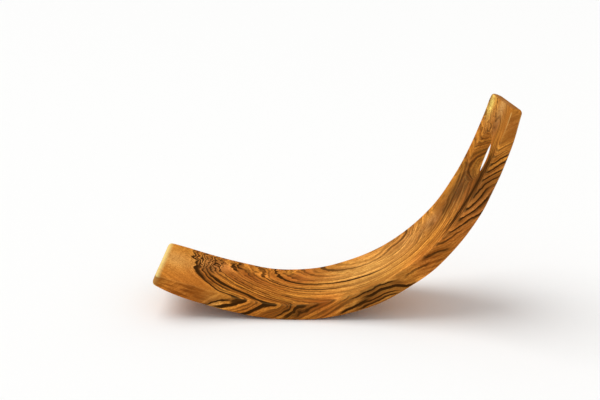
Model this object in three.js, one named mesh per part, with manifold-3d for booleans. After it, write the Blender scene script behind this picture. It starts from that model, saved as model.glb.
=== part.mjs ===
// A balancing bottle holder carved from one piece of olive wood.
// It is one curved board: a low arm, a flat foot under the bend, and a tall arm with a bored hole
// for the bottle's neck. The wall is thickest in the bend and thins towards both tips.
// Millimetres, +Z up. The origin is the centre of the foot, +X points to the tall arm,
// and Y runs across the board.
import * as THREE from 'three';
import { mergeVertices } from 'three/addons/utils/BufferGeometryUtils.js';
import Module from 'manifold-3d';

// Driving dimensions of the board's middle line: lengths in millimetres, angles in degrees
const BEND_RADIUS = 136.8;
const BEND_BEFORE_FOOT = 11.6; // turn of the bend between the low arm and the foot
const BEND_AFTER_FOOT = 63; // turn of the bend between the foot and the tall arm
const LOW_ARM_RADIUS = 367;
const LOW_ARM_LENGTH = 69.5;
const TALL_ARM_RADIUS = 262;
const TALL_ARM_LENGTH = 73.4;

// Board section
const WIDTH = 68; // across the low arm and the foot
const TALL_TIP_WIDTH = 64; // the tall arm narrows evenly to its tip
const FOOT_WALL = 11.9; // wall over the foot and along the low arm
const BEND_WALL = 13.9; // wall where it is thickest
const THICKEST_ANGLE = 20; // place of the thickest wall, in degrees of bend past the foot
const LOW_TIP_WALL = 7.5;
const LOW_TIP_TAPER = 34; // length over which the low tip is thinned
const TALL_TIP_WALL = 7.6;
const EDGE_ROUND = 1.8; // radius on the two long edges of each face
const TIP_ROUND = 2; // radius where the faces turn over the tips
const CORNER_ROUND = 3; // radius of the four corners, seen square to the board

// Foot and neck hole
const FOOT_LENGTH = 20; // length of the flat that the holder stands on
const HOLE_DIAMETER = 36;
const HOLE_FROM_TIP = 42.9; // hole centre to the tall tip, along the middle line
const HOLE_RIM_ROUND = 1.5;
const RIM_OPENING = 60; // how far the eased rims turn outwards, in degrees

// Fineness of the facets
const STATION_STEP = 5; // greatest distance between sections along the board
const ROUND_STEPS = 4; // facets in each rounded edge, tip and corner
const HOLE_SIDES = 48;

const WOOD = new THREE.MeshStandardMaterial({ color: 0xb5712c, roughness: 0.45, metalness: 0 });

const radians = THREE.MathUtils.degToRad;

// The flat is cut into a round underside, so its length sets how deep the cut goes.
function footCutDepth() {
  const undersideRadius = BEND_RADIUS + FOOT_WALL / 2;
  return undersideRadius - Math.sqrt(undersideRadius ** 2 - (FOOT_LENGTH / 2) ** 2);
}

// An arc that hangs below its centre, between two slopes of its tangent given in radians.
function hangingArc(centre, radius, slopeFrom, slopeTo) {
  const quarter = Math.PI / 2;
  return new THREE.ArcCurve(centre.x, centre.y, radius, slopeFrom - quarter, slopeTo - quarter, false);
}

// The centre of an arc that runs on smoothly from the bend where the tangent has this slope.
function smoothCentre(bendCentre, radius, slope) {
  const toJoint = new THREE.Vector2(Math.sin(slope), -Math.cos(slope));
  return bendCentre.clone().addScaledVector(toJoint, BEND_RADIUS - radius);
}

// The middle line of the wall in the XZ plane: low arm, bend and tall arm, as three smooth arcs.
function makeMiddleLine() {
  const lowSlope = -radians(BEND_BEFORE_FOOT);
  const tallSlope = radians(BEND_AFTER_FOOT);
  const bendCentre = new THREE.Vector2(0, FOOT_WALL / 2 - footCutDepth() + BEND_RADIUS);
  const lowCentre = smoothCentre(bendCentre, LOW_ARM_RADIUS, lowSlope);
  const tallCentre = smoothCentre(bendCentre, TALL_ARM_RADIUS, tallSlope);
  const lowTipSlope = lowSlope - LOW_ARM_LENGTH / LOW_ARM_RADIUS;
  const tallTipSlope = tallSlope + TALL_ARM_LENGTH / TALL_ARM_RADIUS;
  const line = new THREE.CurvePath();
  line.add(hangingArc(lowCentre, LOW_ARM_RADIUS, lowTipSlope, lowSlope));
  line.add(hangingArc(bendCentre, BEND_RADIUS, lowSlope, tallSlope));
  line.add(hangingArc(tallCentre, TALL_ARM_RADIUS, tallSlope, tallTipSlope));
  return line;
}

const middleLine = makeMiddleLine();
const boardLength = LOW_ARM_LENGTH + BEND_RADIUS * radians(BEND_BEFORE_FOOT + BEND_AFTER_FOOT)
  + TALL_ARM_LENGTH;
const footStation = LOW_ARM_LENGTH + BEND_RADIUS * radians(BEND_BEFORE_FOOT);
const thickestStation = footStation + BEND_RADIUS * radians(THICKEST_ANGLE);

// Wall at a distance along the middle line from the low tip. It rises from the foot to its thickest
// place with a smooth step, then falls with the square of the distance to the tall tip.
function wallAt(station) {
  if (station > thickestStation) {
    const share = (station - thickestStation) / (boardLength - thickestStation);
    return BEND_WALL - (BEND_WALL - TALL_TIP_WALL) * share ** 2;
  }
  const rise = THREE.MathUtils.smoothstep(station, footStation, thickestStation);
  const taper = Math.max(0, 1 - station / LOW_TIP_TAPER);
  return FOOT_WALL + (BEND_WALL - FOOT_WALL) * rise - (FOOT_WALL - LOW_TIP_WALL) * taper ** 2;
}

// Width at a distance along the middle line: even up to the foot, then narrowing evenly.
function widthAt(station) {
  const share = Math.max(0, (station - footStation) / (boardLength - footStation));
  return WIDTH - (WIDTH - TALL_TIP_WIDTH) * share;
}

// How far a rounded end draws in at this distance from it, for a round of this radius.
function drawIn(distance, radius) {
  const left = Math.max(0, radius - distance);
  return radius - Math.sqrt(radius ** 2 - left ** 2);
}

// A point of the middle line with its direction and the direction towards the hollow side.
function frameAt(station) {
  const share = THREE.MathUtils.clamp(station / boardLength, 0, 1);
  const point = middleLine.getPoint(share);
  const tangent = middleLine.getTangent(share);
  return {
    point: new THREE.Vector3(point.x, 0, point.y),
    along: new THREE.Vector3(tangent.x, 0, tangent.y),
    hollow: new THREE.Vector3(-tangent.y, 0, tangent.x),
  };
}

// The board's section at a station: a rounded rectangle, drawn in near the tips.
function sectionAt(station) {
  const toTip = Math.min(station, boardLength - station);
  const tipRound = Math.min(TIP_ROUND, 0.45 * wallAt(station));
  const halfWall = wallAt(station) / 2 - drawIn(toTip, tipRound);
  const halfWidth = widthAt(station) / 2 - drawIn(toTip, CORNER_ROUND);
  const radius = Math.min(EDGE_ROUND, 0.9 * halfWall);
  const { point, hollow } = frameAt(station);
  const ring = [];
  for (const [side, face, turn] of [[1, 1, 0], [-1, 1, 90], [-1, -1, 180], [1, -1, 270]]) {
    for (let step = 0; step <= ROUND_STEPS; step += 1) {
      const angle = radians(turn + (90 * step) / ROUND_STEPS);
      const across = side * (halfWidth - radius) + radius * Math.cos(angle);
      const outward = face * (halfWall - radius) + radius * Math.sin(angle);
      ring.push(point.clone().addScaledVector(hollow, outward).setY(across));
    }
  }
  return ring;
}

// Stations along the board: close together in the rounded tips, even between them.
function makeStations() {
  const tipStations = [];
  for (const radius of [TIP_ROUND, CORNER_ROUND]) {
    for (let step = 0; step <= ROUND_STEPS; step += 1) {
      tipStations.push(radius * (1 - Math.cos(radians((90 * step) / ROUND_STEPS))));
    }
  }
  const ends = [...new Set(tipStations)].sort((a, b) => a - b);
  const tipLength = ends[ends.length - 1];
  const count = Math.ceil((boardLength - 2 * tipLength) / STATION_STEP);
  const between = [];
  for (let i = 1; i < count; i += 1) {
    between.push(tipLength + ((boardLength - 2 * tipLength) * i) / count);
  }
  return [...ends, ...between, ...ends.map((end) => boardLength - end).reverse()];
}

// A closed surface through rings with the same number of points, with a flat fan on each end.
function loft(rings) {
  const sides = rings[0].length;
  const points = rings.flat();
  const triangles = [];
  for (let ring = 0; ring + 1 < rings.length; ring += 1) {
    for (let side = 0; side < sides; side += 1) {
      const here = ring * sides + side;
      const beside = ring * sides + ((side + 1) % sides);
      triangles.push(here, beside, beside + sides, here, beside + sides, here + sides);
    }
  }
  const lastRing = (rings.length - 1) * sides;
  for (let side = 1; side + 1 < sides; side += 1) {
    triangles.push(0, side + 1, side, lastRing, lastRing + side, lastRing + side + 1);
  }
  const geometry = new THREE.BufferGeometry().setFromPoints(points);
  geometry.setIndex(triangles);
  return geometry;
}

// The tool that bores the neck hole, as a turned shape about Z centred on the wall: a straight bore
// that opens out at both faces, first as an arc and then as a cone, to ease the rims.
function makeHoleCutter(wall) {
  const reach = 2 * wall;
  const rim = [];
  for (let step = 0; step <= ROUND_STEPS; step += 1) {
    const angle = (radians(RIM_OPENING) * step) / ROUND_STEPS;
    const out = HOLE_RIM_ROUND * (1 - Math.cos(angle));
    const up = wall / 2 - HOLE_RIM_ROUND * (1 - Math.sin(angle));
    rim.push(new THREE.Vector2(HOLE_DIAMETER / 2 + out, up));
  }
  const lip = rim[ROUND_STEPS];
  const coneWidth = (reach - lip.y) * Math.tan(radians(RIM_OPENING));
  rim.push(new THREE.Vector2(lip.x + coneWidth, reach), new THREE.Vector2(0, reach));
  const underside = rim.map((point) => new THREE.Vector2(point.x, -point.y)).reverse();
  return new THREE.LatheGeometry([...underside, ...rim], HOLE_SIDES).rotateX(Math.PI / 2);
}

const wasm = await Module();
wasm.setup();

function toSolid(geometry) {
  const bare = geometry.clone();
  bare.deleteAttribute('normal');
  bare.deleteAttribute('uv');
  const merged = mergeVertices(bare, 1e-4);
  return new wasm.Manifold(new wasm.Mesh({
    numProp: 3,
    vertProperties: new Float32Array(merged.attributes.position.array),
    triVerts: new Uint32Array(merged.index.array),
  }));
}

function toGeometry(solid) {
  const mesh = solid.getMesh();
  const geometry = new THREE.BufferGeometry();
  geometry.setAttribute('position', new THREE.BufferAttribute(mesh.vertProperties, 3));
  geometry.setIndex(new THREE.BufferAttribute(mesh.triVerts, 1));
  geometry.computeVertexNormals();
  return geometry;
}

function makeBoard() {
  const blank = toSolid(loft(makeStations().map(sectionAt)));

  const holeStation = boardLength - HOLE_FROM_TIP;
  const { point, along, hollow } = frameAt(holeStation);
  const across = new THREE.Vector3().crossVectors(hollow, along);
  const seat = new THREE.Matrix4().makeBasis(along, across, hollow).setPosition(point);
  const hole = toSolid(makeHoleCutter(wallAt(holeStation)).applyMatrix4(seat));

  const floorSize = 4 * FOOT_LENGTH;
  const floor = new THREE.BoxGeometry(floorSize, 2 * WIDTH, floorSize);
  const floorSolid = toSolid(floor.translate(0, 0, -floorSize / 2));

  return toGeometry(blank.subtract(hole).subtract(floorSolid));
}

const holder = new THREE.Group();
holder.name = 'bottle_holder';
const board = new THREE.Mesh(makeBoard(), WOOD);
board.name = 'carved_board';
holder.add(board);

export default holder;
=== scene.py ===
# A balancing wine bottle holder, carved from one piece of olive wood. Lengths are in metres.
import math
from types import SimpleNamespace

import bmesh
import bpy
import numpy as np
from mathutils import Matrix, Vector


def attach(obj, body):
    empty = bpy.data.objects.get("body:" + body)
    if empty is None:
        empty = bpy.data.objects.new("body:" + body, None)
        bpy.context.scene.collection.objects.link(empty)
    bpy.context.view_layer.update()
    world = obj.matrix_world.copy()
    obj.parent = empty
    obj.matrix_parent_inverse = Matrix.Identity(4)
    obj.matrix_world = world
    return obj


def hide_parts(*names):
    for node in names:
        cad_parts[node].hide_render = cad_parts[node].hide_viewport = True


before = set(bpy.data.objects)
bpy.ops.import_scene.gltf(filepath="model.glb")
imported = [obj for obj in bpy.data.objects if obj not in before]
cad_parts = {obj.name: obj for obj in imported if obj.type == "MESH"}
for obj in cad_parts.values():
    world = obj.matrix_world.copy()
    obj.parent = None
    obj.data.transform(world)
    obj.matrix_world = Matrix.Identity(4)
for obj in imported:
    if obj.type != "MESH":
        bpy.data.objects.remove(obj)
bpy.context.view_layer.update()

# Carved board: its shape
# One thick piece of olive wood, sawn to a curve, bored for the bottle's neck and sanded by hand.
# Its skin is a rounded section carried along the middle line, with rings of faces round the hole.
MM = 0.001
BEND_RADIUS = 136.8 * MM
BEND_BEFORE_FOOT = math.radians(11.6)
BEND_AFTER_FOOT = math.radians(63)
LOW_ARM_RADIUS = 367 * MM
LOW_ARM_LENGTH = 69.5 * MM
TALL_ARM_RADIUS = 262 * MM
TALL_ARM_LENGTH = 73.4 * MM
WIDTH = 68 * MM
TALL_TIP_WIDTH = 64 * MM
FOOT_WALL = 11.9 * MM
BEND_WALL = 13.9 * MM
THICKEST_ANGLE = math.radians(20)
LOW_TIP_WALL = 7.5 * MM
LOW_TIP_TAPER = 34 * MM
TALL_TIP_WALL = 7.6 * MM
EDGE_ROUND = 1.8 * MM
TIP_ROUND = 2 * MM
CORNER_ROUND = 3 * MM
FAR_CORNER_ROUND = 8.5 * MM  # the tall tip's corner at the back
FOOT_LENGTH = 20 * MM
TALL_END_SLANT = 0.18  # fall of the tall tip's end towards the outer face, as a share of the wall
TALL_END_REACH = 12 * MM  # length of board over which the end comes to lean
HOLE_RADIUS = 18 * MM
HOLE_FROM_TIP = 42.9 * MM
RIM_ROUND = 1.8 * MM
LINE_STEPS = 8000  # short steps that the middle line is summed up from
LINE_OVERRUN = 1 * MM  # its length past the tall tip, for the leaning end

foot_station = LOW_ARM_LENGTH + BEND_RADIUS * BEND_BEFORE_FOOT
thickest_station = foot_station + BEND_RADIUS * THICKEST_ANGLE
tall_arm_station = foot_station + BEND_RADIUS * BEND_AFTER_FOOT
board_length = tall_arm_station + TALL_ARM_LENGTH
arc_ends = [0, LOW_ARM_LENGTH, tall_arm_station, board_length]
arc_slopes = [
    -BEND_BEFORE_FOOT - LOW_ARM_LENGTH / LOW_ARM_RADIUS,
    -BEND_BEFORE_FOOT,
    BEND_AFTER_FOOT,
    BEND_AFTER_FOOT + TALL_ARM_LENGTH / TALL_ARM_RADIUS,
]


def smooth_step(low, high, value):
    """0 below low and 1 above high, with 3t^2 - 2t^3 between them."""
    t = np.clip((value - low) / (high - low), 0, 1)
    return t * t * (3 - 2 * t)


def middle_line(station):
    """X, Z and slope of the middle line. The slope changes evenly along each of its three arcs, and
    X and Z are the running sums of the slope's cosine and sine, from the foot."""
    fine = np.linspace(0, board_length + LINE_OVERRUN, LINE_STEPS + 1)
    slope = np.interp(fine, arc_ends, arc_slopes)
    step = np.diff(fine)
    run = np.append(0, np.cumsum(np.cos((slope[1:] + slope[:-1]) / 2) * step))
    rise = np.append(0, np.cumsum(np.sin((slope[1:] + slope[:-1]) / 2) * step))
    underside = BEND_RADIUS + FOOT_WALL / 2
    foot_cut = underside - math.sqrt(underside**2 - (FOOT_LENGTH / 2) ** 2)
    x = np.interp(station, fine, run) - np.interp(foot_station, fine, run)
    z = np.interp(station, fine, rise) - np.interp(foot_station, fine, rise)
    return x, z + FOOT_WALL / 2 - foot_cut, np.interp(station, fine, slope)


def wall(station):
    """Wall along the board: a smooth step from the foot to the thickest place, a square law from
    there to the tall tip, and a square taper at the low tip."""
    swell = (BEND_WALL - FOOT_WALL) * smooth_step(foot_station, thickest_station, station)
    taper = (FOOT_WALL - LOW_TIP_WALL) * np.clip(1 - station / LOW_TIP_TAPER, 0, 1) ** 2
    past = np.clip((station - thickest_station) / (board_length - thickest_station), 0, 1)
    return FOOT_WALL + swell - taper - (BEND_WALL - TALL_TIP_WALL) * past**2


def width(station):
    """Width along the board: even up to the foot, then narrowing evenly to the tall tip."""
    share = np.clip((station - foot_station) / (board_length - foot_station), 0, 1)
    return WIDTH - (WIDTH - TALL_TIP_WIDTH) * share


def draw_in(distance, radius):
    """How far a round of this radius has drawn in at this distance from the end."""
    left = np.clip(radius - distance, 0, None)
    return radius - np.sqrt(radius**2 - left**2)


FACE_COLUMNS = 66
SIDE_ROWS = 9
EDGE_STEPS = 6
TIP_STEPS = 6
STATION_STEP = 1 * MM
LEAST_STEP = 0.06 * MM
END_ROWS = 5
EDGE_WANDER = 0.22  # share by which hand sanding varies the rounded edges
EDGE_WAVE = 47 * MM
EDGE_PHASES = (1.3, 2.1)  # half the shift of that wave from side to side and from face to face
EDGE_LIMIT = 0.9  # most of the half wall that a rounded edge takes up
EVEN_TIP = 8 * MM  # reach of each tip over which the edges become even


def section_ring():
    """One turn round the section. Each row holds the point's shares of the half width and of the half
    wall, and the direction in which the rounded edge pushes it out."""
    flats = (
        ((-1, 1), (1, 1), FACE_COLUMNS, 90),
        ((1, 1), (1, -1), SIDE_ROWS, 0),
        ((1, -1), (-1, -1), FACE_COLUMNS, -90),
        ((-1, -1), (-1, 1), SIDE_ROWS, -180),
    )
    rows = []
    for start, end, count, facing in flats:
        share = np.linspace(start, end, count + 1)
        turned = np.radians(np.full(count + 1, facing))
        rows.append(np.c_[share, np.cos(turned), np.sin(turned)])
        turned = np.radians(np.linspace(facing, facing - 90, EDGE_STEPS + 1)[1:-1])
        corner = np.tile(end, (EDGE_STEPS - 1, 1))
        rows.append(np.c_[corner, np.cos(turned), np.sin(turned)])
    return np.concatenate(rows)


def board_stations():
    """Stations along the board: close together in the rounded tips and even between them."""
    turn = np.linspace(0, math.pi / 2, TIP_STEPS + 1)
    tip = np.outer([TIP_ROUND, CORNER_ROUND, FAR_CORNER_ROUND], 1 - np.cos(turn)).ravel()
    tip = np.unique(tip.round(7))
    tip = tip[np.diff(tip, prepend=-1) > LEAST_STEP]
    count = round((board_length - 2 * tip[-1]) / STATION_STEP)
    between = np.linspace(tip[-1], board_length - tip[-1], count + 1)
    return np.concatenate([tip, between[1:-1], board_length - tip[::-1]])


def board_points(station, across, outward):
    """Points at a distance across the board and a distance from the middle line to the hollow side."""
    x, z, slope = middle_line(station)
    return np.stack([x - np.sin(slope) * outward, across + 0 * x, z + np.cos(slope) * outward], -1)


def board_grid(station, ring):
    """The skin as rows of rings. The flat end faces are more rings, which close onto a line."""
    close = np.linspace(0, 1, END_ROWS + 1)[:-1]
    rows = np.concatenate([np.full(END_ROWS, station[0]), station, np.full(END_ROWS, station[-1])])
    shut = np.concatenate([close, np.ones(len(station)), close[::-1]])[:, None]
    to_tip = np.minimum(rows, board_length - rows)[:, None]
    rows = rows[:, None]
    side, face, out, up = ring.T[:, None, :]
    half_wall = wall(rows) / 2 - draw_in(to_tip, TIP_ROUND)
    far_corner = (side > 0) & (rows > foot_station)
    corner = np.where(far_corner, FAR_CORNER_ROUND, CORNER_ROUND)
    half_width = width(rows) / 2 - draw_in(to_tip, corner)
    phase = EDGE_PHASES[0] * side + EDGE_PHASES[1] * face
    wander = np.sin(2 * math.pi * rows / EDGE_WAVE + phase)
    wander = EDGE_WANDER * wander * smooth_step(0, EVEN_TIP, to_tip)
    radius = np.minimum(EDGE_ROUND * (1 + wander), EDGE_LIMIT * half_wall)
    drawn_in = radius * shut + EDGE_ROUND * (1 - shut)
    across = side * (half_width - drawn_in) + out * radius * shut
    outward = (face * (half_wall - radius) + up * radius) * shut
    slant = TALL_END_SLANT * smooth_step(board_length - TALL_END_REACH, board_length, rows)
    return board_points(rows + slant * outward, across, outward)


WINDOW_REACH = 25 * MM  # the part of each face that the hole's own rings of faces replace
WINDOW_COLUMNS = 6  # columns of the face left standing beside the window
FACE_RINGS = 10
RIM_RINGS = 6
BORE_RINGS = 8
FACE_SAMPLES = 401  # places where a face's height over the hole is worked out
SEWING_GAP = 0.002 * MM  # points closer together than this become one

hole_station = board_length - HOLE_FROM_TIP


def window_loop(first_row, last_row, first_column, last_column):
    """Rows and columns of the grid along the window's edge, once round."""
    rows = np.arange(first_row, last_row)
    columns = np.arange(first_column, last_column)
    down = np.full(len(rows), 0)
    along = np.full(len(columns), 0)
    row = np.concatenate([rows, along + last_row, rows[::-1] + 1, along + first_row])
    column = np.concatenate([down + first_column, columns, down + last_column, columns[::-1] + 1])
    return row, column


def face_height(reach, side):
    """Height of a face over the plane square to the bore, at a reach along the board."""
    near = hole_station + np.linspace(-2, 2, FACE_SAMPLES) * WINDOW_REACH
    near = near[near < board_length]
    face = board_points(near, 0, side * wall(near) / 2)
    middle = board_points(np.array([hole_station]), 0, 0)[0]
    slope = middle_line(hole_station)[2]
    dx, dz = (face - middle)[:, [0, 2]].T
    along = dx * math.cos(slope) + dz * math.sin(slope)
    height = dz * math.cos(slope) - dx * math.sin(slope)
    return np.interp(reach, along, height)


def hole_rings(hollow_edge, outer_edge, turn):
    """Rings of points from the window's edge on the hollow side, over the rim, down the straight bore
    and out over the other rim to the window's edge on the outer side."""
    middle = board_points(np.array([hole_station]), 0, 0)[0]
    slope = middle_line(hole_station)[2]
    along = np.array([math.cos(slope), 0, math.sin(slope)])
    across = np.array([0, 1, 0])
    hollow = np.array([-math.sin(slope), 0, math.cos(slope)])
    circle = np.stack([np.cos(turn), np.sin(turn)])
    sides = []
    for edge, side in ((hollow_edge, 1), (outer_edge, -1)):
        square = np.stack([(edge - middle) @ along, edge[:, 1]])
        share = np.linspace(1, 0, FACE_RINGS + 1)[:-1, None, None]
        flat = square * share + circle * (HOLE_RADIUS + RIM_ROUND) * (1 - share)
        bend = np.linspace(math.pi / 2, 0, RIM_RINGS + 1)[:, None, None]
        rim = circle * (HOLE_RADIUS + RIM_ROUND * (1 - np.cos(bend)))
        drop = np.concatenate([0 * share, RIM_ROUND * (1 - np.sin(bend))])[:, 0]
        reach = np.concatenate([flat, rim])
        height = face_height(reach[:, 0], side) - side * drop
        sides.append(np.concatenate([reach, height[:, None]], 1))
    top, foot = sides[0][-1], sides[1][-1]
    share = np.linspace(0, 1, BORE_RINGS + 1)[1:-1, None, None]
    bore = top * (1 - share) + foot * share
    rings = np.concatenate([sides[0], bore, sides[1][::-1]])
    return middle + np.einsum("rcn,cx->rnx", rings, np.stack([along, across, hollow]))


def strip_quads(rows, columns, first, closed):
    """Quads between neighbouring rows of a grid of points that starts at number first."""
    row = np.arange(rows - 1)[:, None]
    column = np.arange(columns if closed else columns - 1)[None, :]
    beside = (column + 1) % columns
    here, right = row * columns + column, row * columns + beside
    return first + np.stack([here, here + columns, right + columns, right], -1)


def make_board_mesh():
    """The skin, with the window opened and the hole's rings sewn into it."""
    ring = section_ring()
    station = board_stations()
    grid = board_grid(station, ring)
    rows, columns = grid.shape[:2]
    quads = strip_quads(rows, columns, 0, True)

    first = END_ROWS + int(np.abs(station - hole_station + WINDOW_REACH).argmin())
    last = END_ROWS + int(np.abs(station - hole_station - WINDOW_REACH).argmin())
    left, right = WINDOW_COLUMNS, FACE_COLUMNS - WINDOW_COLUMNS
    outer = FACE_COLUMNS + SIDE_ROWS + 2 * EDGE_STEPS
    row, column = window_loop(first, last, left, right)
    mirrored = outer + FACE_COLUMNS - column
    flat_width = width(station[row - END_ROWS]) / 2 - EDGE_ROUND
    turn = np.arctan2(flat_width * (2 * column / FACE_COLUMNS - 1), station[row - END_ROWS] - hole_station)
    rings = hole_rings(grid[row, column], grid[row, mirrored], turn)

    keep = np.ones(quads.shape[:2], bool)
    keep[first:last, left:right] = False
    keep[first:last, outer + left:outer + right] = False
    sewn = strip_quads(*rings.shape[:2], grid.size // 3, True)[..., ::-1]
    faces = np.concatenate([quads[keep], sewn.reshape(-1, 4)])
    points = np.concatenate([grid.reshape(-1, 3), rings.reshape(-1, 3)])
    used, faces = np.unique(faces, return_inverse=True)

    mesh = bpy.data.meshes.new("carved_board_skin")
    mesh.from_pydata(points[used].tolist(), [], faces.reshape(-1, 4).tolist())
    joined = bmesh.new()
    joined.from_mesh(mesh)
    bmesh.ops.remove_doubles(joined, verts=joined.verts, dist=SEWING_GAP)
    joined.to_mesh(mesh)
    joined.free()
    return mesh


SANDING_DEPTH = 0.25 * MM  # hollows that hand sanding leaves
SANDING_WAVES = ((31, 0.4), (53, 1.9), (23, 4.4))  # wavelength in mm and phase along X, Y and Z
FACING_SAMPLES = 801  # places along the board where its slope is worked out


def read_skin(mesh):
    """The mesh's points and the normals there, one to a row."""
    rows = np.empty((2, len(mesh.vertices) * 3), np.float32)
    mesh.vertices.foreach_get("co", rows[0])
    mesh.vertex_normals.foreach_get("vector", rows[1])
    return rows.reshape(2, -1, 3)


def sand_by_hand(mesh):
    """Sinks the skin by a smooth product of waves, never outwards, and keeps the foot flat."""
    point, normal = read_skin(mesh)
    length, phase = np.array(SANDING_WAVES).T
    wave = np.sin(2 * math.pi * point / (length * MM) + phase)
    level = 0.5 + (wave[:, 0] * wave[:, 1] + wave[:, 1] * wave[:, 2]) / 4
    off_foot = smooth_step(0, FOOT_WALL / 2, point[:, 2])
    point = point - normal * (SANDING_DEPTH * level * off_foot)[:, None]
    point[:, 2] = np.maximum(point[:, 2], 0)
    mesh.vertices.foreach_set("co", point.ravel())
    mesh.update()


def mark_facing(mesh):
    """Stores how far each point's normal points out of the hollow: 1 in the hollow, 0 on the sides,
    -1 on the outer face and values between them on the rounded edges."""
    point, normal = read_skin(mesh)
    x, _, slope = middle_line(np.linspace(0, board_length, FACING_SAMPLES))
    slope = np.interp(point[:, 0], x, slope)
    outward = normal[:, 2] * np.cos(slope) - normal[:, 0] * np.sin(slope)
    mesh.attributes.new("facing", "FLOAT", "POINT").data.foreach_set("value", outward)


board_mesh = make_board_mesh()
sand_by_hand(board_mesh)
mark_facing(board_mesh)
board_mesh.shade_smooth()
board = bpy.data.objects.new("olive_board", board_mesh)
bpy.context.scene.collection.objects.link(board)
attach(board, "root")
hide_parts("carved_board")

# Carved board: its wood
# The growth layers are one solid field, cut by the carved faces, so each dark layer runs on over the
# edges and through the bore. The sanded wood shows no gloss in even light. Shader lengths are in mm.
LAYER_TILT = math.radians(30)  # rise of the layers along the board, seen from the side
LAYER_DIP = 0.95  # fall of the layers across the board, towards the back
LAYER_BOW = 0.015  # upturn of the layers in the back half
SAPWOOD = (74, 62)  # levels between which the plain outer wood turns into dark figured heartwood
TALL_HEARTWOOD = (40, 100)  # X between which every layer turns into heartwood
WAVER = ((34.0, 3.0), (9.0, 1.1), (3.2, 0.7))  # sizes and reaches of the noises that bend the layers

# Below, a ramp is given by the values between which it goes, and then by its start and its end where
# these aren't 0 and 1. First the ramps of the faces. The first two go by the flank, which is 0 on the
# broad faces and 1 on the sides, and the third by the facing, which is 1 in the hollow.
BROAD_FACE = (0.75, 0.4)
SIDE_FACE = (0.25, 0.6)
HOLLOW_FACE = (0.5, 0.77)

# Places where the layers swell: centre, radius and lift
SWELLS = (
    ((-80, 32, 28), 26, 22),
    ((106, 28, 66), 24, 18),
    ((-72, 8, 26), 11, 8),
    ((-21, -36, 13), 17, 4.5),
    ((-22, -30, 14), 7, -2.5),
    ((-8, -34, 11), 6, 4),
    ((-56, -22, 22), 14, -3),
    ((-60, -34, 8), 11, -5.5),
    ((75, 18, 36), 9, 3.5),
    ((93, 7, 52), 11, 6),
    ((84, -34, 26), 10, 8),
    ((97, -34, 36), 10, 6),
    ((108, -34, 52), 10, 3.5),
    ((134, -34, 98), 14, -8),
    ((141, -33, 116), 10, -4),
    ((-50, -31, 19), 9, -3),
    ((-19, 25, 13), 8, 5),
)

# Places where the layers flicker like a flame: centre, radius, size of the tongues and lift
FLAMES = (
    ((-56, 18, 22), 20, 5, 17),
    ((-58, 14, 22), 17, 3.2, 3.5),
    ((-26, 12, 15), 18, 3.5, 4),
    ((137, 14, 135), 14, 7, 26),
    ((139, 6, 139), 12, 3, 9),
    ((-8, 28, 13), 14, 5, 8),
    ((4, -34, 9), 11, 5, 7),
)

# A fold under the tall tip, which bends the layers to a V: centre, radius, slope and kink
FOLD = ((139, -5, 140), 17, 1.05, 0.55)

# Dark growth layers: level, width and darkness. Those of darkness 1 don't fade along the grain.
DARK_LAYERS = (
    (94, 4.0, 0.12),
    (85, 5.0, 0.12),
    (65.6, 2.4, 0.8),
    (61.8, 2.2, 0.8),
    (57.2, 1.8, 0.6),
    (53.8, 2.6, 0.9),
    (45.0, 2.0, 0.75),
    (41.2, 2.2, 0.9),
    (34.0, 2.0, 0.65),
    (26.8, 1.8, 0.55),
    (19.8, 2.0, 0.55),
    (12.0, 2.0, 0.8),
    (9.4, 1.6, 0.55),
    (3.0, 2.2, 0.75),
    (-2.5, 1.4, 0.5),
    (-5.5, 1.6, 0.6),
    (-9.5, 1.4, 0.75),
    (-12.2, 1.2, 0.5),
    (-14.8, 1.8, 1.0),
    (-18.4, 1.2, 0.5),
    (-22, 1.4, 0.6),
)

# Thinner ones between them, which show on the sides
SIDE_LAYERS = (
    (49, 1.4, 0.7),
    (37.5, 1.3, 0.6),
    (29.8, 1.4, 0.55),
    (23.2, 1.4, 0.55),
    (15.6, 1.3, 0.6),
)

# Ramps at the start and at the end of a dark layer, in widths from its level
LAYER_START = (-0.6, -0.25)
LAYER_END = (0.45, 0.25)
SIDE_THINNING = 0.7  # width of the layers on the sides, against that in the hollow
FADED = 0.45  # darkness of a layer where it fades along the grain
UNFADED = FLAMES[0][:2]  # centre and radius of the place where none fades
DARKEST = 0.96  # share of the dark colour in a layer of darkness 1

# Dark layers that show in one place of the hollow: level, width, darkness, centre and radius
HOLLOW_STREAKS = (
    (65.2, 2.2, 1.0, (-50, -25, 19), 20),
    (64.4, 4.2, 1.0, (-66, -7, 25), 12),
    (65.0, 3.0, 0.85, (-72, 14, 27), 12),
    (61.0, 2.0, 0.7, (-69, 14, 25), 11),
    (57.4, 2.4, 0.7, (-66, 14, 25), 11),
    (58.6, 2.0, 0.8, (-56, -14, 21), 17),
    (54.0, 4.6, 1.0, (-33, -22, 15), 31),
    (50.0, 2.4, 0.75, (-62, 12, 24), 15),
    (45.6, 2.0, 0.75, (-60, 14, 23), 15),
    (45.6, 1.8, 0.8, (-22, -22, 14), 20),
    (41.4, 2.6, 0.85, (-57, 16, 23), 12),
    (36.6, 2.2, 0.85, (-54, 20, 21), 8),
    (26.2, 3.6, 0.85, (-41, 20, 17), 7),
    (22.0, 2.6, 0.85, (-38, 25, 16), 6),
    (37.6, 1.6, 0.5, (-20, -8, 12), 24),
    (30.4, 1.6, 0.5, (-14, -8, 12), 24),
    (23.2, 1.6, 0.5, (-8, -5, 12), 26),
    (16.0, 1.6, 0.5, (-4, 0, 12), 26),
    (3.0, 2.8, 0.85, (20, 3, 13), 44),
    (12.0, 1.8, 0.8, (4, 0, 11), 30),
)

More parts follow.
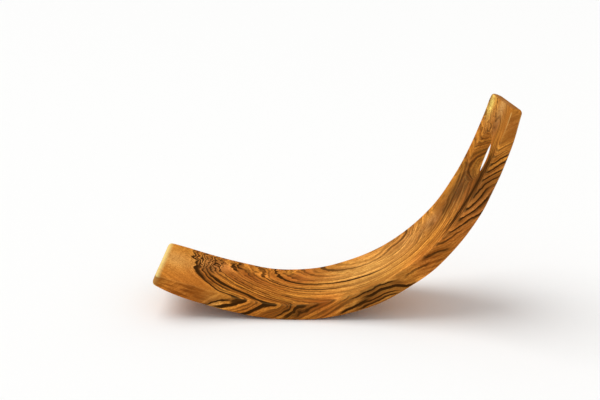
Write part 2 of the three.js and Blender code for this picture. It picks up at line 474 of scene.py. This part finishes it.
# The same on the near side
SIDE_STREAKS = (
    (65.0, 1.2, 0.9, (-52, -34, 13), 10),
    (63.8, 2.8, 0.8, (-35, -34, 13), 6),
    (62.2, 2.2, 1.0, (-40, -34, 12), 12),
    (54.0, 3.0, 1.0, (-24, -34, 8), 15),
    (53.2, 3.0, 1.0, (-13, -34, 11), 5),
    (41.6, 2.0, 0.6, (-2, -34, 8), 8),
    (36.8, 3.6, 0.8, (3, -34, 8), 9),
    (32.6, 1.8, 0.7, (11, -34, 9), 9),
    (24.2, 1.0, 0.9, (57, -34, 23), 15),
    (18.8, 2.2, 1.0, (44, -34, 11), 10),
    (21.2, 2.4, 1.0, (67, -34, 24), 17),
    (17.6, 1.4, 0.8, (60, -34, 17), 14),
    (15.2, 1.4, 0.8, (60, -34, 16), 14),
    (20.8, 1.5, 1.0, (80, -33, 27), 6),
    (25.2, 0.9, 0.5, (86, -33, 38), 9),
    (28.0, 1.7, 0.65, (98, -33, 51), 9),
    (32.2, 1.2, 0.55, (107, -33, 61), 10),
    (38.2, 1.3, 0.9, (121, -33, 83), 13),
    (34.8, 1.2, 0.9, (116, -33, 74), 13),
    (41.8, 1.3, 0.9, (122, -33, 88), 12),
    (45.4, 1.4, 0.9, (126, -33, 96), 12),
    (57.6, 1.4, 0.9, (135, -32, 113), 12),
    (53.6, 1.3, 0.9, (133, -32, 108), 12),
    (49.4, 1.3, 0.9, (129, -32, 102), 12),
)

# Painted shade in a band up the tall arm beside its near arris: place across, width, darkness, centre and
# radius
EDGE_SHADE = (-26.0, 12.0, 0.9, (120, -28, 92), 30)
EDGE_SHADE_STRAND_LENGTH = 14.0  # of its strands, against their size
EDGE_SHADE_STRAND_SIZE = 2.4
EDGE_SHADE_STRAND_RAMP = (0.4, 0.55, 0.3, 1.0)

# Brown strands on the near side: slope, centre and radius
STRANDS = (
    (math.radians(-18), (-76, -34, 20), 22),
    (math.radians(22), (96, -34, 50), 20),
)
STRAND_LENGTH = 9
STRAND_NOISE = (1.7, 3.0)  # size and detail
STRAND_RAMP = (0.42, 0.6)
PATCH_RAMP = (0.12, 0.6)  # from the rim of a streak's place, or of the painted edge shade's, inwards

# Fine rings: levels from one to the next, and ramps at the start and end of each, in shares of that
HOLLOW_RINGS = 7.0
SIDE_RINGS = 2.6
RING_START = (0.2, 0.85)
RING_END = (0.99, 0.9)
BROKEN_RING = 0.1  # least darkness where they break up
WHOLE_RING = 0.7  # and most darkness
DRIFT_RINGS = 4.4  # rings by which they drift slowly
WANDER_RINGS = 1.2  # rings by which they wander along the fibres
WANDER_SIZE = 5.0
LOOSE_RINGS = 5.0  # and by how many more they wander in the loose place
LOOSE = SWELLS[1][:2]  # its centre and radius

# Noises in the layers: length along the fibres and breadth across them, size and detail
RING_DRIFT = (30.0, 30.0, 6.0, 2.0)

# Figures made of such noises: the same and the noise values between which each comes up
FADES = (14.0, 14.0, 1.6, 2.0, 0.36, 0.54)
RING_BREAKS = (7.0, 7.0, 2.4, 2.0, 0.35, 0.65)
BROWN_STREAKS = (26.0, 14.0, 3.6, 3.0, 0.34, 0.62)
PALE_STREAKS = (20.0, 10.0, 2.0, 2.0, 0.47, 0.64)

FIBRE_LENGTH = 7.0  # of the finest fibres, against their size
FIBRE_NOISE = (0.9, 3.0, 0.6)  # size, detail and roughness
FIBRE_RAMP = (0.42, 0.7, 0.0, 0.6)
SPECKLE_SIZE = 0.9
SPECKLE_RAMP = (0.46, 0.72, 0.0, 0.6)

# Shares of each figure that are left in the sapwood
RINGS_IN_SAPWOOD = 0.15
BROWN_IN_SAPWOOD = 0.35
PALE_IN_SAPWOOD = 0.3

# Calm places, where layers, rings and brown streaks fade: centre, radius and share
CALM_PLACES = (
    ((60, 0, 29), 36, 0.45),
    ((99, 20, 56), 9, 0.5),
    ((140, -6, 147), 9, 0.9),
    ((141, 18, 143), 8, 0.95),
    ((144, -34, 136), 15, 0.85),
    ((-48, 14, 19), 7, 0.95),
    ((-50, -34, 11), 10, 0.7),
    ((92, -34, 45), 14, 0.55),
    ((82, -34, 34), 10, 0.6),
    ((137, 14, 134), 9, 0.1),
    ((112, -34, 62), 12, 0.4),
    ((103, 14, 62), 10, 0.6),
)

# Tints of the wood, with some rows of painted light and painted shade: centre, radius, colour and strength
TINTS_AND_PAINTED_LIGHT = (
    # painted light: the bend's hollow made brighter
    ((54, 0, 24), 36, (255, 192, 98), 0.9),
    ((84, 12, 42), 18, (255, 184, 96), 0.8),
    ((101, 8, 60), 14, (166, 118, 70), 0.8),
    ((6, 20, 12), 15, (190, 108, 52), 0.75),
    ((-10, 8, 13), 26, (230, 142, 58), 0.65),
    ((-3, 25, 12), 5, (255, 180, 70), 0.8),
    # painted shade: the tall arm's hollow face made darker and greyer
    ((118, 2, 86), 23, (100, 80, 48), 0.95),
    ((137, 12, 134), 11, (236, 166, 84), 0.7),
    ((141, -8, 146), 10, (240, 184, 108), 0.9),
    ((137, -8, 135), 10, (140, 104, 62), 0.8),
    ((141, 22, 143), 9, (255, 226, 118), 1.0),
    ((144, -34, 137), 15, (150, 90, 40), 0.8),
    # painted light: the tall arm's near side made lighter
    ((124, -34, 88), 22, (244, 164, 84), 0.6),
    ((112, -34, 64), 15, (232, 142, 62), 0.75),
    ((92, -34, 44), 14, (198, 112, 46), 0.75),
    ((75, -34, 28), 8, (140, 84, 34), 0.7),
    ((125, -24, 100), 13, (104, 64, 28), 0.75),
    ((-48, 14, 19), 7, (252, 160, 74), 1.0),
    ((-54, -34, 10), 8, (255, 190, 96), 1.0),
    ((-12, -34, 9), 9, (140, 80, 26), 0.5),
    ((56, -34, 17), 13, (124, 72, 26), 0.7),
    ((4, -34, 8), 9, (112, 72, 32), 0.75),
    ((-58, 14, 22), 14, (216, 146, 84), 0.6),
    ((-60, 2, 24), 9, (124, 80, 44), 0.8),
    ((-64, -12, 24), 14, (190, 106, 42), 0.6),
    ((24, -34, 11), 15, (196, 106, 38), 0.8),
    ((-26, -34, 9), 14, (214, 126, 50), 0.6),
    ((-34, 4, 15), 14, (190, 106, 48), 0.6),
    ((-78, -34, 20), 22, (220, 130, 52), 0.65),
    ((-64, -34, 16), 13, (142, 76, 28), 0.6),
    ((-86, 4, 29), 16, (240, 180, 98), 0.75),
    ((-91, -33, 29), 5, (150, 96, 36), 0.7),
)

# Shares of the base colour that are left in its brown streaks, pale streaks and brown strands
BROWNED = (0.56, 0.48, 0.5)
LIT = (1.45, 1.5, 1.6)
STRANDED = (0.46, 0.38, 0.32)

GOLD = (230, 152, 56)
BROWN = (158, 86, 24)
DUSK = (78, 48, 20)  # fine rings and dark layers
DARK = (62, 36, 12)  # dark streaks and the painted shade by the tall arm's near arris
LOW_END_HIGHLIGHT = (255, 234, 150)  # painted highlight on the rounded rim round the low tip's end
TALL_END_SHADE = (150, 98, 52)  # painted shade on the tall tip's end face
# Painted highlight along the arrises of the tall tip
ARRIS_HIGHLIGHT = (255, 214, 130)

# Ramps of the painted light and shade at the ends and on the arrises, by the distance past the board's end
# or by the flank
LOW_END_HIGHLIGHT_RAMP = (4.6, 0.4, 0.0, 0.7)
LOW_END_HIGHLIGHT_FLANK = (0.75, 0.98, 1.0, 0.2)
TALL_END_SHADE_RAMP = (-0.9, -0.3, 0.0, 0.8)
ARRIS_HIGHLIGHT_RAMP = (0.12, 0.25)  # by (1 - flank) * flank, which comes up to 1/4 half-way round an edge
ARRIS_HIGHLIGHT_END = (-2.5, -4.5)
ARRIS_HIGHLIGHT_SHARE = 0.04
ARRIS_HIGHLIGHT_SPOT = ((142, -31, 145), 10)  # where the painted highlight on the near arris of the tall tip is strongest
ARRIS_HIGHLIGHT_SPOT_SHARE = 0.35

WOOD_ROUGHNESS = 0.45


def srgb(red, green, blue):
    """A colour given in 0 to 255 as the shader's linear values."""
    share = np.array([red, green, blue]) / 255
    linear = np.where(share <= 0.04045, share / 12.92, ((share + 0.055) / 1.055) ** 2.4)
    return (*linear.tolist(), 1.0)


def add(tree, kind, *sources, **settings):
    """A new node with these settings. The sources are links or values for its inputs, in order."""
    made = tree.nodes.new("ShaderNode" + kind)
    for name, value in settings.items():
        setattr(made, name, value)
    for socket, source in zip(made.inputs, sources):
        if isinstance(source, bpy.types.NodeSocket):
            tree.links.new(source, socket)
        elif source is not None:
            socket.default_value = source
    return made


def number(tree, operation, *sources):
    return add(tree, "Math", *sources, operation=operation).outputs[0]


def times(tree, product, *others):
    """The product of two or more values."""
    for other in others:
        product = number(tree, "MULTIPLY", product, other)
    return product


def vector(tree, operation, *sources):
    made = add(tree, "VectorMath", *sources, operation=operation)
    return made.outputs["Value" if operation in ("DOT_PRODUCT", "DISTANCE") else "Vector"]


def mixed(tree, share, first, second):
    made = add(tree, "Mix", data_type="RGBA")
    for socket, source in ((0, share), (6, first), (7, second)):
        if isinstance(source, bpy.types.NodeSocket):
            tree.links.new(source, made.inputs[socket])
        else:
            made.inputs[socket].default_value = source
    return made.outputs[2]


def painted(tree, share, base, colour):
    """The base colour with this share of another one, given in 0 to 255."""
    return mixed(tree, share, base, srgb(*colour))


def scaled(tree, share, base, factor):
    """The base colour with this share of it multiplied by the factor."""
    return mixed(tree, share, base, vector(tree, "MULTIPLY", base, factor))


def ramp(tree, value, low, high, start=0.0, end=1.0):
    """Goes smoothly from start to end as the value goes from low to high. A smooth step stays between
    them by itself, so the node's own clamp is off."""
    sources = (value, low, high, start, end)
    return add(tree, "MapRange", *sources, interpolation_type="SMOOTHSTEP", clamp=False).outputs[0]


def noise(tree, place, size, detail=2.0, roughness=0.5, output="Fac"):
    """Smooth noise of this size round 0.5, as a value or, by its output Color, as a vector."""
    return add(tree, "TexNoise", place, None, 1 / size, detail, roughness).outputs[output]


def new_group(name, inputs, output):
    """A shader node group with named sockets, its input node's sockets and its output socket."""
    tree = bpy.data.node_groups.new(name, "ShaderNodeTree")
    for label, kind in inputs:
        tree.interface.new_socket(label, in_out="INPUT", socket_type="NodeSocket" + kind)
    tree.interface.new_socket(output, in_out="OUTPUT", socket_type="NodeSocketFloat")
    return tree, tree.nodes.new("NodeGroupInput").outputs, tree.nodes.new("NodeGroupOutput").inputs[0]


def make_soft_spot():
    """A mask that is 1 at a centre and falls off as exp(-(distance / radius)^2)."""
    inputs = (("Place", "Vector"), ("Centre", "Vector"), ("Radius", "Float"))
    tree, given, made = new_group("soft_spot", inputs, "Mask")
    share = number(tree, "DIVIDE", vector(tree, "DISTANCE", given[0], given[1]), given[2])
    tree.links.new(number(tree, "EXPONENT", times(tree, share, share, -1.0)), made)
    return tree


def make_dark_layer():
    """One dark growth layer: it darkens slowly up to its level and ends sharply past it."""
    inputs = (("Layer", "Float"), ("Level", "Float"), ("Width", "Float"), ("Darkness", "Float"))
    tree, given, made = new_group("dark_layer", inputs, "Mask")
    over = number(tree, "DIVIDE", number(tree, "SUBTRACT", given[0], given[1]), given[2])
    start, end = ramp(tree, over, *LAYER_START), ramp(tree, over, *LAYER_END)
    tree.links.new(times(tree, start, end, given[3]), made)
    return tree


soft_spot_group = make_soft_spot()
dark_layer_group = make_dark_layer()


def spot(tree, place, centre, radius):
    return add(tree, "Group", place, centre, radius, node_tree=soft_spot_group).outputs[0]


def patch(tree, place, centre, radius):
    """A mask that is 1 in most of a soft spot and fades out round its rim."""
    return ramp(tree, spot(tree, place, centre, radius), *PATCH_RAMP)


def dark_layer(tree, layer, level, thickness, darkness):
    sources = (layer, level, thickness, darkness)
    return add(tree, "Group", *sources, node_tree=dark_layer_group).outputs[0]


def strong(tree, mask):
    """The mask m as 1 - (1 - m)^2, so that a half mask looks half as dark to the eye."""
    rest = number(tree, "SUBTRACT", 1.0, mask)
    return number(tree, "SUBTRACT", 1.0, times(tree, rest, rest))


def shake(tree, place, size, reach):
    """Shifts points by smooth noise of this size, by about a quarter of the reach each way."""
    made = noise(tree, place, size, output="Color")
    made = vector(tree, "SUBTRACT", made, (0.5, 0.5, 0.5))
    made = vector(tree, "MULTIPLY", made, (reach,) * 3)
    return vector(tree, "ADD", place, made)


def past_station(tree, place, station):
    """Distance past the section at this station, square to it."""
    x, z, slope = (float(value) for value in middle_line(station))
    line = (math.cos(slope), 0.0, math.sin(slope))
    start = (x * line[0] + z * line[2]) / MM
    return number(tree, "SUBTRACT", vector(tree, "DOT_PRODUCT", place, line), start)


def layer_field(tree, place, wavering):
    """Height of a point through the growth layers: a tilted plane that bows up in the back half,
    with a few swells and flames and one fold."""
    tilt = (-math.sin(LAYER_TILT), -LAYER_DIP, math.cos(LAYER_TILT))
    layer = vector(tree, "DOT_PRODUCT", wavering, tilt)
    across = add(tree, "SeparateXYZ", wavering).outputs[1]
    back = number(tree, "MAXIMUM", across, 0.0)
    layer = number(tree, "ADD", layer, times(tree, back, back, LAYER_BOW))
    for centre, radius, lift in SWELLS:
        layer = number(tree, "MULTIPLY_ADD", spot(tree, wavering, centre, radius), lift, layer)
    for centre, radius, size, lift in FLAMES:
        tongue = number(tree, "SUBTRACT", noise(tree, place, size), 0.5)
        tongue = times(tree, tongue, spot(tree, place, centre, radius))
        layer = number(tree, "MULTIPLY_ADD", tongue, lift, layer)
    centre, radius, slope, kink = FOLD
    beside = number(tree, "SUBTRACT", across, centre[1])
    bend = times(tree, number(tree, "ABSOLUTE", beside), -kink)
    bend = number(tree, "MULTIPLY_ADD", beside, slope, bend)
    bend = times(tree, bend, spot(tree, place, centre, radius))
    return number(tree, "ADD", layer, bend)


def read_grain(tree):
    """What the wood's effects share at each point: its place, its layer, its distances along and across
    the fibres, the heartwood, the calm and how far it faces the hollow or a side."""
    grain = SimpleNamespace()
    place = vector(tree, "MULTIPLY", add(tree, "TexCoord").outputs["Object"], (1 / MM,) * 3)
    grain.place, grain.wavering = place, place
    for size, reach in WAVER:
        grain.wavering = shake(tree, grain.wavering, size, reach)
    grain.layer = layer_field(tree, place, grain.wavering)

    cosine, sine = math.cos(LAYER_TILT), math.sin(LAYER_TILT)
    grain.along = vector(tree, "DOT_PRODUCT", place, (cosine, 0.0, sine))
    grain.crossing = vector(tree, "DOT_PRODUCT", place, (sine, -1.0, -cosine))
    x, grain.y, _ = add(tree, "SeparateXYZ", place).outputs
    in_layer, in_arm = ramp(tree, grain.layer, *SAPWOOD), ramp(tree, x, *TALL_HEARTWOOD)
    grain.heartwood = number(tree, "MAXIMUM", in_layer, in_arm)
    grain.calm = 1.0
    for centre, radius, share in CALM_PLACES:
        mask = spot(tree, place, centre, radius)
        grain.calm = number(tree, "MULTIPLY_ADD", mask, -share, grain.calm)
    grain.facing = add(tree, "Attribute", attribute_name="facing").outputs["Fac"]
    grain.flank = number(tree, "SUBTRACT", 1.0, times(tree, grain.facing, grain.facing))
    grain.broad, grain.side = ramp(tree, grain.flank, *BROAD_FACE), ramp(tree, grain.flank, *SIDE_FACE)
    return grain


def layered_noise(tree, grain, length, breadth, size, detail):
    """Noise drawn out in the layers, by a length along the fibres and a breadth across them."""
    along = number(tree, "DIVIDE", grain.along, length)
    crossing = number(tree, "DIVIDE", grain.crossing, breadth)
    drawn_out = add(tree, "CombineXYZ", grain.layer, along, crossing).outputs[0]
    return noise(tree, drawn_out, size, detail)


def figure(tree, grain, kind, start=0.0, end=1.0):
    """A figure in the layers, which comes up between two values of its noise."""
    *stretch, low, high = kind
    return ramp(tree, layered_noise(tree, grain, *stretch), low, high, start, end)


def mostly_heartwood(tree, grain, mask, share):
    """The mask, with only this share of it left in the sapwood."""
    return times(tree, mask, number(tree, "MULTIPLY_ADD", grain.heartwood, 1 - share, share))


def dark_layers(tree, grain):
    """The dark growth layers, thinner on the sides and faint in calm places. Those of darkness 1 are
    bold, and the others fade in and out along the grain."""
    bold, dark = 0.0, 0.0
    fading = figure(tree, grain, FADES, FADED)
    thinning = ramp(tree, grain.flank, *SIDE_FACE, 1.0, SIDE_THINNING)
    for level, thickness, darkness in DARK_LAYERS:
        thickness = times(tree, thinning, thickness)
        made = dark_layer(tree, grain.layer, level, thickness, darkness)
        if darkness == 1:
            bold = number(tree, "MAXIMUM", bold, made)
        else:
            dark = number(tree, "MAXIMUM", dark, made)
    for level, thickness, darkness in SIDE_LAYERS:
        made = dark_layer(tree, grain.layer, level, thickness, darkness)
        dark = number(tree, "MAXIMUM", dark, times(tree, made, grain.side))
    unfaded = spot(tree, grain.place, *UNFADED)
    dark = times(tree, dark, number(tree, "MAXIMUM", fading, unfaded))
    return times(tree, number(tree, "MAXIMUM", dark, bold), grain.calm)


def painted_edge_shade(tree, grain):
    """Painted shade beside the tall arm's near arris, broken up into strands along the fibres. It shows on
    the hollow face only.
    """
    beside, thickness, darkness, centre, radius = EDGE_SHADE
    across = add(tree, "SeparateXYZ", grain.wavering).outputs[1]
    edge_shade = dark_layer(tree, across, beside, thickness, darkness)
    along = number(tree, "DIVIDE", grain.along, EDGE_SHADE_STRAND_LENGTH)
    strand = add(tree, "CombineXYZ", along, grain.y).outputs[0]
    strand = ramp(tree, noise(tree, strand, EDGE_SHADE_STRAND_SIZE), *EDGE_SHADE_STRAND_RAMP)
    edge_shade = times(tree, edge_shade, strand, patch(tree, grain.place, centre, radius))
    return times(tree, edge_shade, ramp(tree, grain.facing, *HOLLOW_FACE))


def dark_streaks_and_edge_shade(tree, grain):
    """The dark streaks of the hollow and of the near side, each on its own face, and the painted shade by
    the tall arm's near arris.
    """
    streaks_and_shade = 0.0
    for streaks, face in ((HOLLOW_STREAKS, grain.broad), (SIDE_STREAKS, grain.side)):
        shown = 0.0
        for level, thickness, darkness, centre, radius in streaks:
            streak = dark_layer(tree, grain.layer, level, thickness, darkness)
            streak = times(tree, streak, patch(tree, grain.place, centre, radius))
            shown = number(tree, "MAXIMUM", shown, streak)
        streaks_and_shade = number(tree, "MAXIMUM", streaks_and_shade, times(tree, shown, face))
    return number(tree, "MAXIMUM", streaks_and_shade, painted_edge_shade(tree, grain))


def fibre_place(tree, grain):
    """Points drawn together along the fibres, so that noise there makes long thin strands."""
    rise = vector(tree, "DOT_PRODUCT", grain.place, (-math.sin(LAYER_TILT), 0.0, math.cos(LAYER_TILT)))
    along = number(tree, "DIVIDE", grain.along, FIBRE_LENGTH)
    return add(tree, "CombineXYZ", along, grain.y, rise).outputs[0]


def fine_rings(tree, grain, fibres):
    """Fine rings, each of which darkens slowly and ends sharply. They wander and break up along the
    fibres, and they are closer together on the sides."""
    drift = times(tree, layered_noise(tree, grain, *RING_DRIFT), DRIFT_RINGS)
    loose = number(tree, "MULTIPLY_ADD", spot(tree, grain.place, *LOOSE), LOOSE_RINGS, WANDER_RINGS)
    wander = number(tree, "MULTIPLY_ADD", noise(tree, fibres, WANDER_SIZE), loose, drift)
    ring = 0.0
    for spacing, face in ((HOLLOW_RINGS, grain.broad), (SIDE_RINGS, grain.side)):
        turn = number(tree, "ADD", number(tree, "DIVIDE", grain.layer, spacing), wander)
        turn = number(tree, "FRACT", turn)
        made = times(tree, ramp(tree, turn, *RING_START), ramp(tree, turn, *RING_END))
        ring = number(tree, "MAXIMUM", ring, times(tree, made, face))
    broken = figure(tree, grain, RING_BREAKS, BROKEN_RING, WHOLE_RING)
    ring = mostly_heartwood(tree, grain, times(tree, ring, broken), RINGS_IN_SAPWOOD)
    return times(tree, ring, grain.calm)


def plain_wood(tree, grain, fibres):
    """The wood's colour under its dark figure: gold, tinted from place to place, with painted light and
    shade in some places, brown strands on the near side, pale and brown streaks, fine fibres and speckles."""
    base = srgb(*GOLD)
    for centre, radius, colour, strength in TINTS_AND_PAINTED_LIGHT:
        share = times(tree, spot(tree, grain.place, centre, radius), strength)
        base = painted(tree, share, base, colour)
    for slope, centre, radius in STRANDS:
        run = (math.cos(slope) / STRAND_LENGTH, 0.0, math.sin(slope) / STRAND_LENGTH)
        run = vector(tree, "DOT_PRODUCT", grain.place, run)
        rise = vector(tree, "DOT_PRODUCT", grain.place, (-math.sin(slope), 0.0, math.cos(slope)))
        strand = add(tree, "CombineXYZ", run, rise).outputs[0]
        strand = ramp(tree, noise(tree, strand, *STRAND_NOISE), *STRAND_RAMP)
        strand = times(tree, strand, spot(tree, grain.place, centre, radius), grain.side)
        base = scaled(tree, strand, base, STRANDED)

    pale = mostly_heartwood(tree, grain, figure(tree, grain, PALE_STREAKS), PALE_IN_SAPWOOD)
    base = scaled(tree, pale, base, LIT)
    brown = mostly_heartwood(tree, grain, figure(tree, grain, BROWN_STREAKS), BROWN_IN_SAPWOOD)
    base = scaled(tree, times(tree, brown, grain.calm), base, BROWNED)
    fine = ramp(tree, noise(tree, fibres, *FIBRE_NOISE), *FIBRE_RAMP)
    base = painted(tree, fine, base, BROWN)
    speckle = ramp(tree, noise(tree, grain.place, SPECKLE_SIZE), *SPECKLE_RAMP)
    return painted(tree, speckle, base, BROWN)


def low_end_highlight(tree, grain):
    """A mask of the painted highlight round the low tip's rounded end, faint on the sides."""
    rim = ramp(tree, past_station(tree, grain.place, 0), *LOW_END_HIGHLIGHT_RAMP)
    return times(tree, rim, ramp(tree, grain.flank, *LOW_END_HIGHLIGHT_FLANK))


def paint_tall_end(tree, grain, base):
    """The colour with painted shade on the tall tip's end face, and painted highlights on the arrises
    below it.
    """
    past = past_station(tree, grain.place, board_length)
    # Painted shade on the tall tip's end face
    base = painted(tree, ramp(tree, past, *TALL_END_SHADE_RAMP), base, TALL_END_SHADE)
    # Painted highlight along the arrises, strongest on the tall tip's near arris
    arris = times(tree, number(tree, "SUBTRACT", 1.0, grain.flank), grain.flank)
    arris = times(tree, ramp(tree, arris, *ARRIS_HIGHLIGHT_RAMP), ramp(tree, past, *ARRIS_HIGHLIGHT_END))
    highlight_share = number(tree, "MULTIPLY_ADD", spot(tree, grain.place, *ARRIS_HIGHLIGHT_SPOT), ARRIS_HIGHLIGHT_SPOT_SHARE, ARRIS_HIGHLIGHT_SHARE)
    return painted(tree, times(tree, arris, highlight_share), base, ARRIS_HIGHLIGHT)


def make_olive_wood():
    material = bpy.data.materials.new("olive_wood")
    material.use_nodes = True
    tree = material.node_tree
    tree.nodes.clear()
    grain = read_grain(tree)
    dark = times(tree, dark_layers(tree, grain), DARKEST)
    # Dark streaks in the wood, together with the painted shade beside the tall arm's near arris
    streaks_and_shade = strong(tree, times(tree, dark_streaks_and_edge_shade(tree, grain), DARKEST))
    fibres = fibre_place(tree, grain)
    rings = fine_rings(tree, grain, fibres)

    base = plain_wood(tree, grain, fibres)
    # Painted highlight round the low tip's rounded end
    base = painted(tree, low_end_highlight(tree, grain), base, LOW_END_HIGHLIGHT)
    base = painted(tree, rings, base, DUSK)
    base = painted(tree, dark, base, DUSK)
    base = painted(tree, streaks_and_shade, base, DARK)
    # Painted shade on the tall tip's end face and painted highlights on the arrises below it
    base = paint_tall_end(tree, grain, base)

    shader = add(tree, "BsdfPrincipled")
    tree.links.new(base, shader.inputs["Base Color"])
    shader.inputs["Roughness"].default_value = WOOD_ROUGHNESS
    shader.inputs["Specular IOR Level"].default_value = 0.0
    tree.links.new(shader.outputs[0], add(tree, "OutputMaterial").inputs[0])
    return material


board_mesh.materials.append(make_olive_wood())

# Floor
# A wide pale studio floor that the holder stands on. It runs on past the edges of the picture, and
# it isn't part of the object.
FLOOR_REACH = 20.0
FLOOR_COLOUR = srgb(246, 246, 245)
FLOOR_ROUGHNESS = 0.9

floor_mesh = bpy.data.meshes.new("floor")
corners = np.array([[-1, -1, 0], [1, -1, 0], [1, 1, 0], [-1, 1, 0]]) * FLOOR_REACH
floor_mesh.from_pydata(corners.tolist(), [], [(0, 1, 2, 3)])
floor = bpy.data.objects.new("floor", floor_mesh)
bpy.context.scene.collection.objects.link(floor)
floor_paint = bpy.data.materials.new("floor_paint")
floor_paint.use_nodes = True
floor_shader = floor_paint.node_tree.nodes["Principled BSDF"]
floor_shader.inputs["Base Color"].default_value = FLOOR_COLOUR
floor_shader.inputs["Roughness"].default_value = FLOOR_ROUGHNESS
floor_mesh.materials.append(floor_paint)

# Light
# An even white room and one large soft light overhead, a little to the left, so that the holder
# casts no more than a faint shadow.
ROOM_LIGHT = 0.62
OVERHEAD_DIRECTION = (0.45, -0.08, -1)
OVERHEAD_STRENGTH = 1.6
OVERHEAD_SPREAD = math.radians(50)

world = bpy.data.worlds.new("room")
world.use_nodes = True
world.node_tree.nodes["Background"].inputs["Color"].default_value = (1, 1, 1, 1)
world.node_tree.nodes["Background"].inputs["Strength"].default_value = ROOM_LIGHT
bpy.context.scene.world = world

overhead = bpy.data.lights.new("overhead", "SUN")
overhead.energy = OVERHEAD_STRENGTH
overhead.angle = OVERHEAD_SPREAD
lamp = bpy.data.objects.new("overhead", overhead)
lamp.rotation_euler = Vector(OVERHEAD_DIRECTION).to_track_quat("-Z", "Y").to_euler()
bpy.context.scene.collection.objects.link(lamp)

# Camera
# A 50 mm lens on a 36 mm wide frame, in front of the board, a little over it and tilted down. It is
# turned and rolled by less than a degree.
FOCAL_LENGTH = 50
SENSOR_WIDTH = 36
CAMERA_PLACE = (0.0043, -0.5635, 0.245)
CAMERA_TILT = math.radians(16.62)
CAMERA_TURN = math.radians(0.17)
CAMERA_ROLL = math.radians(0.8)

lens = bpy.data.cameras.new("camera")
lens.lens = FOCAL_LENGTH
lens.sensor_width = SENSOR_WIDTH
camera = bpy.data.objects.new("camera", lens)
camera.matrix_world = (
    Matrix.Translation(CAMERA_PLACE)
    @ Matrix.Rotation(-CAMERA_TURN, 4, "Z")
    @ Matrix.Rotation(math.pi / 2 - CAMERA_TILT, 4, "X")
    @ Matrix.Rotation(CAMERA_ROLL, 4, "Z")
)
bpy.context.scene.collection.objects.link(camera)
bpy.context.scene.camera = camera
bpy.context.scene.view_settings.view_transform = "Standard"
